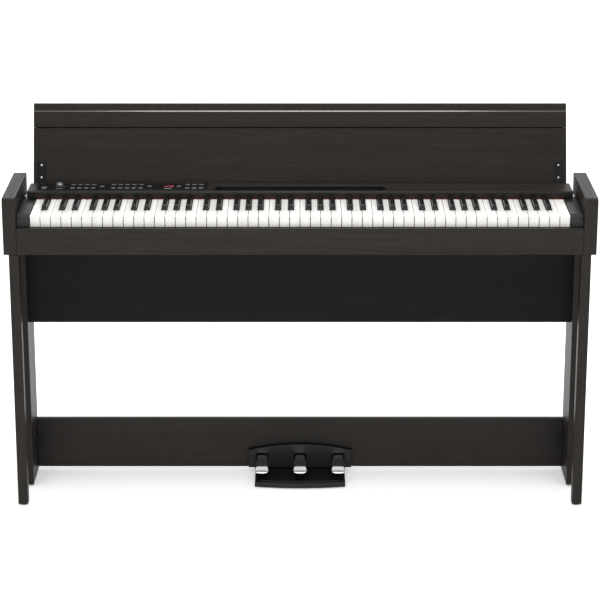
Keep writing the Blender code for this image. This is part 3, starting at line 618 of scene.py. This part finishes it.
class Keyboard:
    """Where the keys are, worked out from the boxes of the CAD key sets."""

    def __init__(self):
        (first_low, first_high), (_, last_high) = cad_box("white_keys_1"), cad_box("white_keys_7")
        black_low, black_high = cad_box("black_keys_4")
        self.left = first_low.x - WHITE_GAP / 2
        self.pitch = (last_high.x - first_low.x + WHITE_GAP) / WHITE_COUNT
        self.front, self.rear, self.top = first_low.y, first_high.y, first_high.z
        self.bottom = self.top - WHITE_DEPTH
        self.black_front, self.black_rear = black_low.y, black_high.y
        self.black_top = black_high.z

    def black_centre(self, index):
        """The centre of the black key to the right of a white key, or None."""
        offset = BLACK_OFFSETS.get((index + FIRST_WHITE_IN_OCTAVE) % WHITES_IN_OCTAVE)
        if offset is None or index < 0 or index >= WHITE_COUNT - 1:
            return None
        return self.left + (index + 1) * self.pitch + offset

    def white_outline(self, index, inset):
        """A white key in plan: a full-width head, and a tail with room for the black keys."""
        left = self.left + index * self.pitch + WHITE_GAP / 2 + inset
        right = self.left + (index + 1) * self.pitch - WHITE_GAP / 2 - inset
        notch = BLACK_WIDTH / 2 + BLACK_SIDE_GAP + inset
        head = self.front + WHITE_HEAD - inset
        front = self.front + inset + (WHITE_LIP if inset else 0.0)
        before, after = self.black_centre(index - 1), self.black_centre(index)
        outline = [(left, front), (right, front)]
        if after is None:
            outline.append((right, self.rear))
        else:
            outline += [(right, head), (after - notch, head), (after - notch, self.rear)]
        if before is None:
            outline.append((left, self.rear))
        else:
            outline += [(before + notch, self.rear), (before + notch, head), (left, head)]
        return outline

    def white_key(self, index, register):
        """A polished top slab with rounded edges that overhangs the key's body at the front."""
        bm = bmesh.new()
        slab_bottom = self.top - WHITE_SLAB
        slab = [(x, y, slab_bottom) for x, y in self.white_outline(index, 0.0)]
        verts = add_prism(bm, slab, (0, 0, WHITE_SLAB))
        upper = edges_where(verts, lambda v: v.co.z > self.top - 0.1)
        front = edges_where(verts, lambda v: v.co.y < self.front + 0.1)
        round_edges(bm, upper | front, 0.8, 3)
        lower = [(x, y, self.bottom) for x, y in self.white_outline(index, WHITE_BODY_INSET)]
        add_prism(bm, lower, (0, 0, slab_bottom - self.bottom + 0.2))
        node = f"white_keys_{register}"
        piece(f"white_key_{index + 1:02d}", bm, node, "white_key", replaces=(node,))

    def black_section(self, centre, y, top):
        """A black key across: straight sides that lean in, and round top corners."""
        lean = BLACK_TAPER * max(0.0, top - self.top) / (self.black_top - self.top)
        half_top, half = BLACK_WIDTH / 2 - lean, BLACK_WIDTH / 2
        shoulder = min(self.top - 1.0, top - BLACK_CORNER - 0.2)
        corner = arc((half_top - BLACK_CORNER, top - BLACK_CORNER), BLACK_CORNER, 0, 90, 4)
        right = [(half, self.bottom + 2.0), (half, shoulder), *corner]
        left = [(-x, z) for x, z in reversed(right)]
        return [(centre + x, y, z) for x, z in right + left]

    def black_key(self, index, number, register):
        """A satin key: a sloped front, a flat top, and a low tail that runs under the console."""
        front, shoulder = self.black_front, self.black_front + BLACK_SHOULDER
        tail, top = self.top - BLACK_TAIL_DROP, self.black_top
        slope = [
            (front + 0.3, tail - 14.0), (front + 1.4, tail + 1.0), (front + 2.4, tail + 5.0),
            (front + 3.4, tail + 9.0), (front + 4.3, top - 2.3), (front + 5.6, top - 0.9),
            (front + 7.4, top - 0.2), (front + 9.5, top),
        ]
        fall = [
            (shoulder - 2.5, top), (shoulder - 1.0, top - 0.4), (shoulder + 0.3, top - 1.8),
            (shoulder + 2.6, tail + 0.3), (shoulder + 4.0, tail), (self.black_rear, tail),
        ]
        bm = bmesh.new()
        centre = self.black_centre(index)
        add_loft(bm, [self.black_section(centre, y, z) for y, z in slope + fall])
        node = f"black_keys_{register}"
        piece(f"black_key_{number:02d}", bm, node, "black_key", replaces=(node,), sharp=50)

    def build(self):
        blacks = 0
        for register in range(1, REGISTERS + 1):
            for index in register_indices(register):
                self.white_key(index, register)
                if self.black_centre(index) is not None:
                    blacks += 1
                    self.black_key(index, blacks, register)


def key_felt():
    """The felt strip above the keys' tails, slightly crowned and uneven as cut felt is."""
    low, high = cad_box("felt_strip")
    middle, half = (low + high) / 2, (high - low) / 2
    outline = rounded_rectangle((0, 0), (half.y, half.z), FELT_CORNER, 2)
    sections = []
    for i in range(FELT_STEPS + 1):
        x = low.x + (high.x - low.x) * i / FELT_STEPS
        section = []
        for y, z in outline:
            swell = 0.94 + 0.1 * noise.noise(Vector((x * 0.13, y * 0.6, z * 0.6)))
            section.append((x, middle.y + y * swell, middle.z + z * swell))
        sections.append(section)
    bm = bmesh.new()
    add_loft(bm, sections)
    piece("key_felt", bm, "cabinet", "red_felt", replaces=("felt_strip",))


# Control panel


def button_places(node):
    """The middles of a group's buttons: two rows of columns, then the single one."""
    columns, side = BUTTON_GROUPS[node]
    low, high = cad_box(node)
    rows = (low.y + CARRIER_MARGIN, high.y - CARRIER_MARGIN)
    half = BUTTON_SIZE[0] / 2
    if side > 0:
        first, single = low.x + half, high.x - half
    else:
        first, single = low.x + half + SINGLE_PITCH, low.x + half
    places = [(first + BUTTON_PITCH * i, y) for i in range(columns) for y in rows]
    return [*places, (single, sum(rows) / 2)]


def button_caps(node):
    """Lozenge caps with rounded tops, each its own moulding."""
    low, high = cad_box(node)
    half = (BUTTON_SIZE[0] / 2, BUTTON_SIZE[1] / 2)
    for number, place in enumerate(button_places(node)):
        bm = bmesh.new()
        seat = low.z + CAP_SKIRT
        outline = [(x, y, seat) for x, y in rounded_rectangle(place, half, 2.1, 6)]
        verts = add_prism(bm, outline, (0, 0, high.z - seat))
        round_edges(bm, edges_where(verts, lambda v: v.co.z > high.z - 0.1), 0.55, 3)
        piece(f"{node[:-1]}_{number + 1}", bm, node, "button_grey", replaces=(node,))


def knob_cap():
    """The volume knob: a ribbed cap with a bright rim and a pointer line."""
    low, high = cad_box("volume_knob")
    (x, y, _), top = cad_middle("volume_knob"), high.z
    radius, seat = (high.x - low.x) / 2, top - KNOB_CAP_HEIGHT
    outline = []
    for i in range(KNOB_RIBS * 4):
        reach = radius - (KNOB_RIB_DEPTH if i % 4 in (2, 3) else 0.0)
        angle = 2 * math.pi * i / (KNOB_RIBS * 4)
        outline.append((x + reach * math.cos(angle), y + reach * math.sin(angle), seat))
    grip, stem = bmesh.new(), KNOB_STEM_HALF
    verts = add_prism(grip, outline, (0, 0, top - KNOB_RIM_DROP - seat))
    upper = edges_where(verts, lambda v: v.co.z > top - KNOB_RIM_DROP - 0.1)
    round_edges(grip, upper, 0.3, 2)
    add_box(grip, (x - stem, y - stem, low.z), (x + stem, y + stem, seat + 1), 0.5)
    piece("knob_grip", grip, "volume", "button_grey", replaces=("volume_knob",))
    rim = bmesh.new()
    profile = [
        (0, top - 1.2), (radius - 0.9, top - 1.2), (radius - 0.7, top - 0.5),
        (radius - 1.1, top - 0.1), (radius - 1.6, top), (radius - 2.2, top - 0.35), (0, top - 0.3),
    ]
    add_lathe(rim, profile, Matrix.Translation((x, y, 0)), 48)
    piece("knob_rim", rim, "volume", "bright_steel")
    pointer = bmesh.new()
    tip = (x + 0.5, y + radius - 2.4, top - 0.15)
    add_box(pointer, (x - 0.5, y + 1.5, top - 0.45), tip, 0.12)
    piece("knob_pointer", pointer, "volume", "button_grey", PRINT)


def power_cap():
    """The round power button, dished on top, with a bright ring round it."""
    low, high = cad_box("power_button")
    (x, y, _), top = cad_middle("power_button"), high.z
    radius, place = (high.x - low.x) / 2, Matrix.Translation((x, y, 0))
    cap = bmesh.new()
    profile = [
        (0, low.z), (radius, low.z), (radius, top - 0.7), (radius - 0.2, top - 0.2),
        (radius - 0.7, top), (radius - 1.3, top - 0.15), (radius - 2.6, top - 0.5),
        (0, top - 0.65),
    ]
    add_lathe(cap, profile, place, 40)
    piece("power_cap", cap, "power", "button_grey", replaces=("power_button",))
    ring = bmesh.new()
    panel = cad_box("control_panel")[1].z
    inner, outer, under, over = radius + 1.0, radius + 1.6, panel - 0.05, panel + 0.1
    add_ring(ring, [(inner, under), (outer, under), (outer, over), (inner, over)], place, 48)
    piece("power_ring", ring, "cabinet", "button_grey", PRINT)


def add_bar(bm, middle, size, top):
    """A printed bar, a hair proud of the panel."""
    half_x, half_y = size[0] / 2, size[1] / 2
    low = (middle[0] - half_x, middle[1] - half_y, top - PRINT_SINK)
    add_box(bm, low, (middle[0] + half_x, middle[1] + half_y, top + PRINT_HEIGHT))


def panel_print():
    """Plain marks: a bar at each button, ticks round the knob, and a bar at the display."""
    top, bm = cad_box("control_panel")[1].z, bmesh.new()
    for node in BUTTON_GROUPS:
        *paired, single = button_places(node)
        for x, y in paired:
            side = 1 if y > single[1] else -1
            add_bar(bm, (x, y + side * LABEL_REACH), (8.5, 0.8), top)
        add_bar(bm, (single[0], single[1] - LABEL_REACH), (6.5, 0.8), top)
    knob = cad_middle("volume_knob")
    for x, y in arc(knob, KNOB_TICK_RADIUS, 90 + KNOB_SWEEP / 2, 90 - KNOB_SWEEP / 2, KNOB_TICKS - 1):
        add_bar(bm, (x, y), (0.9, 0.9), top)
    add_bar(bm, (knob.x, knob.y - 17), (14, 1.2), top)
    add_bar(bm, (cad_middle("power_button").x, cad_box("power_button")[0].y - 6), (9, 1.2), top)
    window = cad_middle("display_window")
    add_bar(bm, (window.x, cad_box("display_window")[0].y - 5), (16, 2.2), top)
    piece("panel_print", bm, "cabinet", "button_grey", PRINT)


def stroke_outline(start, end):
    """One stroke of a digit in plan: a bar with pointed ends, short of its neighbours."""
    along = (end - start).normalized()
    across = Vector((-along.y, along.x)) * DIGIT_STROKE / 2
    start, end = start + along * DIGIT_STROKE_GAP, end - along * DIGIT_STROKE_GAP
    near, far = start - along * DIGIT_POINT, end + along * DIGIT_POINT
    return [start + across, near, start - across, end - across, far, end + across]


def display_digits():
    """Three slanted digits of lit strokes."""
    middle, top = cad_middle("display_window"), cad_box("display_window")[1].z
    x, y = DIGIT_SIZE[0] / 2, DIGIT_SIZE[1] / 2
    strokes = [
        ((-x, y), (x, y)), ((x, y), (x, 0)), ((x, 0), (x, -y)), ((-x, -y), (x, -y)),
        ((-x, 0), (-x, -y)), ((-x, y), (-x, 0)), ((-x, 0), (x, 0)),
    ]
    bm = bmesh.new()
    for place, digit in enumerate(DIGITS):
        digit_x = middle.x + (place - 1) * DIGIT_PITCH
        for lit, (start, end) in zip(DIGIT_STROKES[digit], strokes):
            if lit == "0":
                continue
            points = [
                (digit_x + point.x + DIGIT_SLANT * point.y, middle.y + point.y, top - PRINT_SINK)
                for point in stroke_outline(Vector(start), Vector(end))
            ]
            add_prism(bm, points, (0, 0, 0.08))
    piece("display_digits", bm, "cabinet", "gloss_black", LIT_RED)


# Lid


def lid_axes():
    """Along the open lid towards its top, and out of the face that shows."""
    sine, cosine = math.sin(LID_LEAN), math.cos(LID_LEAN)
    return Vector((0, sine, cosine)), Vector((0, -cosine, sine))


def fold_place():
    """A point on the line on which the flap folds."""
    joints = frame["record"]["behaviour"]["joints"]
    place = next(row["pos_m"] for row in joints if row["name"] == "flap_fold")
    return Vector(place) / MM


def rebate_edge():
    """The lacquered chamfer at the end of the flap's finger rebate, as a thin strip on it."""
    up, out = lid_axes()
    low, high = cad_box("lid_flap")
    near, far, depth = REBATE_CHAMFER
    start = fold_place() + up * (near + 0.2) - out * 0.1
    end = fold_place() + up * (far - 0.2) - out * (depth - 0.1)
    proud = (end - start).normalized().cross(Vector((1, 0, 0)))
    proud *= 0.12 if proud.dot(out) > 0 else -0.12
    left = Vector((low.x + 0.4, 0, 0))
    section = [start + proud, end + proud, end - proud * 2, start - proud * 2]
    bm = bmesh.new()
    add_prism(bm, [point + left for point in section], (high.x - low.x - 0.8, 0, 0))
    piece("flap_rebate_edge", bm, "flap", "dark_wood", LACQUERED_EDGE)


def fold_hinge():
    """The slim continuous hinge in the lid's fold: a barrel of short knuckles on its axis. Its matte
    near-black is partly its own black coating and partly painted shade for the gap of the fold.
    """
    _, y, z = fold_place()
    low, high = cad_box("lid_flap")
    length, radius = KNUCKLE_LENGTH - KNUCKLE_GAP, BARREL_RADIUS
    profile = [
        (0, 0), (radius - 0.15, 0), (radius, 0.2), (radius, length - 0.2), (radius - 0.15, length),
        (0, length),
    ]
    turn = Matrix.Rotation(math.pi / 2, 4, "Y")
    count = int((high.x - low.x - 4) / KNUCKLE_LENGTH)
    bm = bmesh.new()
    for i in range(count):
        place = Matrix.Translation(((i - count / 2) * KNUCKLE_LENGTH, y, z))
        add_lathe(bm, profile, place @ turn, 12)
    piece("fold_hinge_barrel", bm, "lid", "hinge_steel", FOLD_BLACK_AND_GAP_SHADE)


def hinge_screws():
    """Screws down each hinge plate, on the face that shows when the lid is open."""
    up, out = lid_axes()
    for side, word in ((-1, "left"), (1, "right")):
        low, high = cad_box(f"{word}_lid_hinge")
        x = side * (min(abs(low.x), abs(high.x)) + HINGE_HALF)
        top = Vector((x, high.y - HINGE_THICKNESS * math.cos(LID_LEAN), high.z))
        screws(f"{word}_hinge", "lid", [top - up * drop for drop in HINGE_SCREWS], out, SCREW_SMALL)


# Stand and pedals


def foot_pads():
    """Round rubber feet with a rolled edge and a shallow step."""
    for side in ("left", "right"):
        for place in ("front", "rear"):
            node = f"{side}_{place}_foot"
            low, high = cad_box(node)
            middle, radius, floor = cad_middle(node), (high.x - low.x) / 2, low.z
            profile = [
                (0, floor), (radius - 1.6, floor), (radius - 0.6, floor + 0.3),
                (radius, floor + 1.0), (radius, floor + 1.8), (radius - 1.2, floor + 2.0),
                (radius - 1.2, high.z), (0, high.z),
            ]
            bm = bmesh.new()
            add_lathe(bm, profile, Matrix.Translation((middle.x, middle.y, 0)), 36)
            piece(f"{node}_pad", bm, "cabinet", "foot_rubber", replaces=(node,))


def stand_screws():
    """Screws through the brackets, and a pair in each end of the pedal board."""
    board_low, board_high = cad_box("pedal_board")
    for side, word in ((-1, "left"), (1, "right")):
        low, high = cad_box(f"{word}_bracket")
        inner = low.x if side > 0 else high.x
        wall = high.x if side > 0 else low.x
        heights = (low.z + 9, high.z - 9)
        face = [((inner + wall) / 2 + side * -1.0, high.y - 2.0, z) for z in heights]
        screws(f"{word}_bracket_board", "cabinet", face, (0, -1, 0), SCREW_SMALL, "hinge_steel")
        leaf = [(wall - side * 2.0, low.y + 6, z) for z in heights]
        screws(f"{word}_bracket_leg", "cabinet", leaf, (-side, 0, 0), SCREW_SMALL, "hinge_steel")
        heights = (board_low.z + 6, board_high.z - 16)
        ends = [(side * (board_high.x - 9), board_low.y, z) for z in heights]
        screws(f"{word}_board_end", "cabinet", ends, (0, -1, 0), SCREW_SMALL, "hinge_steel")


def pedal_housing():
    """The arched plate with three slots, and the bowed base in front of it with a ridge on it."""
    low, high = cad_box("pedal_housing")
    board_low, _ = cad_box("pedal_board")
    half, front = (high.x - low.x) / 2, board_low.y - PLATE_THICKNESS_AHEAD
    bottom, ends = low.z + PLATE_ABOVE_BASE, high.z - PLATE_ARCH
    across = [1 - i / 12 for i in range(25)]
    top = [(half * t, ends + PLATE_ARCH * (1 - t * t)) for t in across]
    outline = [(-half, bottom), (half, bottom), *top]
    plate = bmesh.new()
    add_prism(plate, [(x, front, z) for x, z in outline], (0, high.y - front, 0))
    slot_low, slot_high = SLOT_ABOVE_PLATE
    slot_middle, slot_half = bottom + (slot_low + slot_high) / 2, (slot_high - slot_low) / 2
    slots = []
    for pedal in PEDALS:
        place = (cad_middle(pedal).x, slot_middle)
        slot_outline = rounded_rectangle(place, (SLOT_HALF, slot_half), SLOT_CORNER)
        cutter = bmesh.new()
        add_prism(cutter, [(x, front - 5, z) for x, z in slot_outline], (0, 30, 0))
        slots.append(cutter)
    mesh = carved("pedal_plate", plate, slots)
    obj = make_object("pedal_plate", mesh, MATERIALS["black_plastic"])
    soften(obj, 1.4, 3, 40)
    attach(obj, "cabinet")
    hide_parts("pedal_housing")


def base_front(x, back):
    """How far forward the pedal base's bowed front is at x, or a line that far behind it."""
    share = x / BASE_HALF
    return cad_box("pedal_housing")[0].y + back + BASE_BOW * share**2


def pedal_base():
    """A low tray: its rim rises along the bowed front, and a ridge crosses it behind the rim."""
    low, high = cad_box("pedal_housing")
    half, top = BASE_HALF, low.z + BASE_THICKNESS - BASE_RIM_HEIGHT
    across = [half * (i / 16 - 1) for i in range(33)]
    outline = [(x, base_front(x, 0.0), low.z) for x in across]
    outline += [(half, high.y - 4, low.z), (-half, high.y - 4, low.z)]
    tray = bmesh.new()
    verts = add_prism(tray, outline, (0, 0, top - low.z))
    round_edges(tray, edges_where(verts, lambda v: v.co.z > top - 0.1), 1.6, 3)
    piece("pedal_base", tray, "cabinet", "black_plastic", replaces=("pedal_housing",))
    for name, back, reach, width, height in (
        ("pedal_base_rim", 1.0, half - 1.0, 5.0, BASE_RIM_HEIGHT),
        ("pedal_base_ridge", 16.0, half - 14.0, 3.0, 2.0),
    ):
        crown = height + 0.6
        section = [
            (0, 0), (width, 0), (width, height / 2), (width * 0.7, crown), (width * 0.3, crown),
            (0, height / 2),
        ]
        sections = []
        for x in across:
            place = (x * reach / half, base_front(x * reach / half, back), top - 0.6)
            sections.append([(place[0], place[1] + y, place[2] + z) for y, z in section])
        strip = bmesh.new()
        add_loft(strip, sections)
        piece(name, strip, "cabinet", "black_plastic", sharp=60)


def pedal_section(x, y, half, thickness, height):
    """A flattened round bar across a pedal."""
    points = []
    for cosine, sine in arc((0, 0), 1.0, 0, 360 - 360 / 28, 27):
        wide = math.copysign(abs(cosine) ** 0.38, cosine) * half
        tall = math.copysign(abs(sine) ** 0.62, sine) * thickness / 2
        points.append((x + wide, y, height + tall))
    return points


def pedals():
    """Chrome pedals: a narrow lever widens to a squarish tip, which curves down at its front."""
    for node in PEDALS:
        low, high = cad_box(node)
        x, pivot_z = cad_middle(node).x, high.z - PEDAL_THICKNESS / 2
        sections = []
        for i in range(PEDAL_STATIONS + 1):
            share = (i / PEDAL_STATIONS) ** 0.7
            y = high.y - (high.y - low.y) * share
            widen = min(1.0, max(0.0, (share - 0.28) / 0.45))
            eased = 3 * widen**2 - 2 * widen**3
            half = PEDAL_LEVER_HALF + (PEDAL_TIP_HALF - PEDAL_LEVER_HALF) * eased
            from_nose = 1 - min(1.0, (y - low.y) / PEDAL_NOSE)
            half *= (1 - from_nose**3.4) ** 0.5 * 0.55 + 0.45
            thickness = PEDAL_THICKNESS * max(0.12, (1 - from_nose**2.2) ** 0.5)
            height = pivot_z - PEDAL_DROP * share**3.2
            sections.append(pedal_section(x, y, half, thickness, height))
        bm = bmesh.new()
        add_loft(bm, sections)
        piece(f"{node}_lever", bm, node, "pedal_chrome", replaces=(node,), sharp=60)


# Under the keybed


def speaker_fittings():
    """An oval paper cone with its roll surround, behind a grille of bars, and four screws."""
    for word in ("left", "right"):
        low, high = cad_box(f"{word}_speaker")
        x, y, _ = cad_middle(f"{word}_speaker")
        base, cone_half_y = low.z, (high.y - low.y) / 2 - SPEAKER_SURROUND
        profile = [
            (0, 11.9), (1.0, 11.9), (1.0, 4.5), (0.96, 3.5), (0.90, 3.1), (0.84, 3.8), (0.80, 5.0),
            (0.40, 9.5), (0.32, 9.6), (0.24, 7.8), (0.12, 6.8), (0, 6.6),
        ]
        cone, place = bmesh.new(), Matrix.Translation((x, y, base))
        add_lathe(cone, profile, place, 56, (SPEAKER_CONE_HALF, cone_half_y))
        piece(f"{word}_speaker_cone", cone, "cabinet", "black_plastic", CONE_PAPER)
        grille, half = bmesh.new(), GRILLE_BAR_HALF
        for i in range(GRILLE_BARS):
            bar = x + GRILLE_PITCH * (i - (GRILLE_BARS - 1) / 2)
            near, far = (bar - half, y - 22.6, base + 0.4), (bar + half, y + 22.6, base + 1.8)
            add_box(grille, near, far, 0.3)
        for bar in (y - 12, y + 12):
            near, far = (x - 51, bar - half, base + 1.6), (x + 51, bar + half, base + 2.6)
            add_box(grille, near, far, 0.3)
        piece(f"{word}_speaker_grille", grille, "cabinet", "black_plastic")
        dx, dy = SPEAKER_SCREWS
        corners = [(x + i * dx, y + j * dy, base) for i in (-1, 1) for j in (-1, 1)]
        screws(f"{word}_speaker", "cabinet", corners, (0, 0, -1), SCREW_SMALL)


def socket_fittings():
    """A round bush in the headphone socket, and a pin in a collar in the power inlet."""
    low, high = cad_box("connector_box")
    z = cad_middle("connector_box").z
    turn = Matrix.Rotation(-math.pi / 2, 4, "X")
    for name, offset, outer, inner in (
        ("power_inlet", INLET_OFFSET, 6.4, 3.9), ("headphone", HEADPHONE_OFFSET, 5.2, 3.0),
    ):
        section = [
            (inner, 0.0), (outer, 0.0), (outer, 0.9), (outer - 0.4, 1.3), (inner + 0.5, 1.3),
            (inner, 0.8),
        ]
        collar = bmesh.new()
        add_ring(collar, section, Matrix.Translation((low.x + offset, high.y, z)) @ turn, 36)
        piece(f"{name}_collar", collar, "cabinet", "bright_steel")
    pin = bmesh.new()
    place = Matrix.Translation((low.x + INLET_OFFSET, high.y - 13.5, z)) @ turn
    add_lathe(pin, [(0, 0), (1.0, 0), (1.0, 9.0), (0.6, 10.0), (0, 10.2)], place, 20)
    piece("power_inlet_pin", pin, "cabinet", "bright_steel")
    corners = [(low.x + 6, high.y, z), (high.x - 6, high.y, z)]
    screws("connector_box", "cabinet", corners, (0, 1, 0), SCREW_SMALL)


def cabinet_screws():
    """Screws that hold the rear wall to the keybed and the console, and the keybed to the stand."""
    low, high = cad_box("rear_wall")
    columns = [low.x + 25 + (high.x - low.x - 50) * i / 6 for i in range(7)]
    rows = [(x, high.y, z) for x in columns for z in (low.z + 8, high.z - 8)]
    screws("rear_wall", "cabinet", rows, (0, 1, 0), SCREW_SMALL)
    bed_low, bed_high = cad_box("keybed")
    ends = [(x * (bed_high.x - 40), bed_low.y + y, bed_low.z) for x in (-1, 1) for y in (20, 90)]
    screws("keybed", "cabinet", ends, (0, 0, -1))


# Studio


def studio():
    """A pale floor, a soft sky and the lights."""
    bm = bmesh.new()
    bmesh.ops.create_grid(bm, x_segments=1, y_segments=1, size=FLOOR_HALF / MM)
    sockets = {"Specular IOR Level": 0.2, "Emission Color": WHITE, "Emission Strength": 0.35}
    material, tree, shader = new_material("pale_floor", grey(0.93), 0.7, sockets)
    cloud = noise_field(tree, grey(3.0), 4.0)
    tone = colour_between(tree, cloud, grey(0.92), grey(0.94))
    tree.links.new(tone, shader.inputs["Base Color"])
    floor = make_object("floor", finish_mesh("floor", bm), material)
    floor.location.z = -FLOOR_GAP
    sky()
    lights()


def sky():
    """White light from all round, brighter behind the piano, and plain white to the camera."""
    world = bpy.data.worlds.new("studio")
    bpy.context.scene.world = world
    world.use_nodes = True
    tree = world.node_tree
    background = tree.nodes["Background"]
    direction = add_node(tree, "TexCoord").outputs["Generated"]
    depth = add_node(tree, "SeparateXYZ", {0: direction}).outputs["Y"]
    around = ranged(tree, depth, 0.30, 0.85, -0.6, 0.7)
    seen = add_node(tree, "LightPath").outputs["Is Camera Ray"]
    strength = add_node(tree, "Mix", {"Factor": seen, 2: around, 3: 1.0}, data_type="FLOAT")
    background.inputs["Color"].default_value = WHITE
    tree.links.new(strength.outputs[0], background.inputs["Strength"])


def lights():
    """A wide soft sun, and three softboxes."""
    sun = bpy.data.lights.new("soft_sun", "SUN")
    sun.energy = 1.45
    sun.angle = math.radians(60)
    add_light("soft_sun", sun, (0.0, -2.0, 5.0), (0.0, 0.0, 0.5))
    for name, (place, target, size, power) in SOFTBOXES.items():
        light = bpy.data.lights.new(name, "AREA")
        light.shape = "RECTANGLE"
        light.size, light.size_y = size
        light.energy = power
        add_light(name, light, place, target)


def add_light(name, light, place, target):
    """Hangs a light at a place, pointed at a target."""
    obj = bpy.data.objects.new(name, light)
    obj.location = place
    obj.rotation_euler = (Vector(target) - Vector(place)).to_track_quat("-Z", "Y").to_euler()
    bpy.context.scene.collection.objects.link(obj)


def camera():
    data = bpy.data.cameras.new("camera")
    data.lens = CAMERA_LENS
    obj = bpy.data.objects.new("camera", data)
    obj.location = CAMERA_PLACE
    obj.rotation_euler = (math.radians(90 - CAMERA_PITCH), 0.0, 0.0)
    bpy.context.scene.collection.objects.link(obj)
    bpy.context.scene.camera = obj
    bpy.context.scene.view_settings.view_transform = "Standard"


camera()
studio()
paint_frame()
soften_frame()
Keyboard().build()
key_felt()
for group in BUTTON_GROUPS:
    button_caps(group)
knob_cap()
power_cap()
panel_print()
display_digits()
rebate_edge()
fold_hinge()
hinge_screws()
foot_pads()
stand_screws()
pedal_housing()
pedal_base()
pedals()
speaker_fittings()
socket_fittings()
cabinet_screws()
